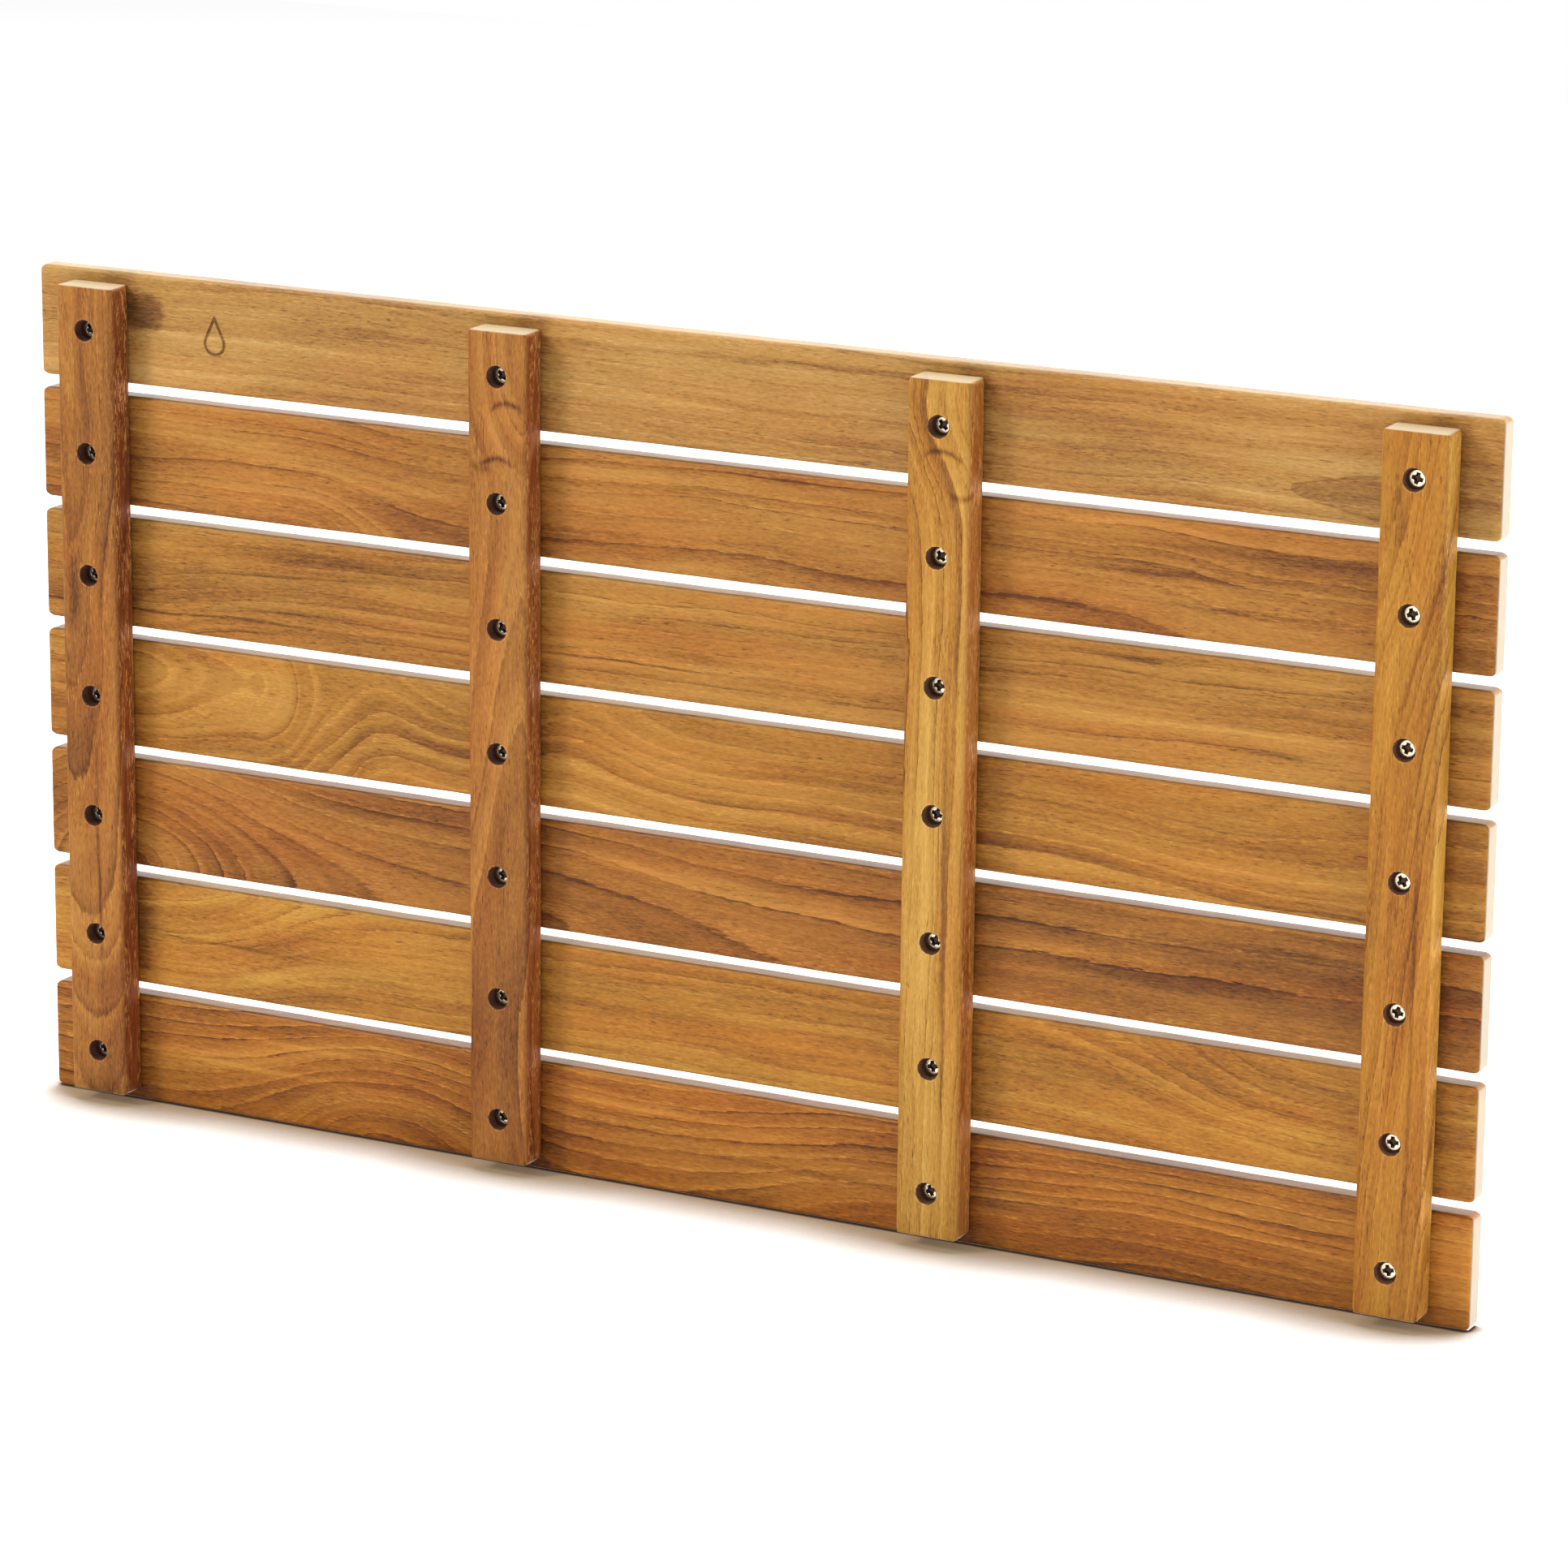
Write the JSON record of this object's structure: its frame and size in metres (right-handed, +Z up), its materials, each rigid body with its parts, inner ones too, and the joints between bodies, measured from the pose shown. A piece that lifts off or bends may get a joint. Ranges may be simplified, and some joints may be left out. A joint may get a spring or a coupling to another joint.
{
  "type": "slatted bath mat",
  "caption": "Rigid slatted hardwood bath mat: wide parallel slats screwed to cross battens, with drain gaps between the slats and counterbored screw holes underneath.",
  "frame": {"origin": "centre of the footprint on the floor, under the battens", "axes": "+X along the slats (longest side), +Y across the slats, +Z up to the face that is stood on"},
  "size_m": [0.762, 0.4212, 0.0275],
  "materials": {
    "slat_1": "oiled satin",
    "slat_2": "oiled satin",
    "slat_3": "oiled satin",
    "slat_4": "oiled satin",
    "slat_5": "oiled satin",
    "slat_6": "oiled satin",
    "slat_7": "oiled satin",
    "batten_1": "oiled satin",
    "batten_2": "oiled satin",
    "batten_3": "oiled satin",
    "batten_4": "oiled satin",
    "screw_steel": "zinc plated"
  },
  "bodies": {
    "root": {"slat_1": "slat_1", "slat_2": "slat_2", "slat_3": "slat_3", "slat_4": "slat_4", "slat_5": "slat_5", "slat_6": "slat_6", "slat_7": "slat_7", "batten_1": "batten_1", "batten_2": "batten_2", "batten_3": "batten_3", "batten_4": "batten_4", "screws_batten_1": "screw_steel", "screws_batten_2": "screw_steel", "screws_batten_3": "screw_steel", "screws_batten_4": "screw_steel"}
  },
  "joints": []
}
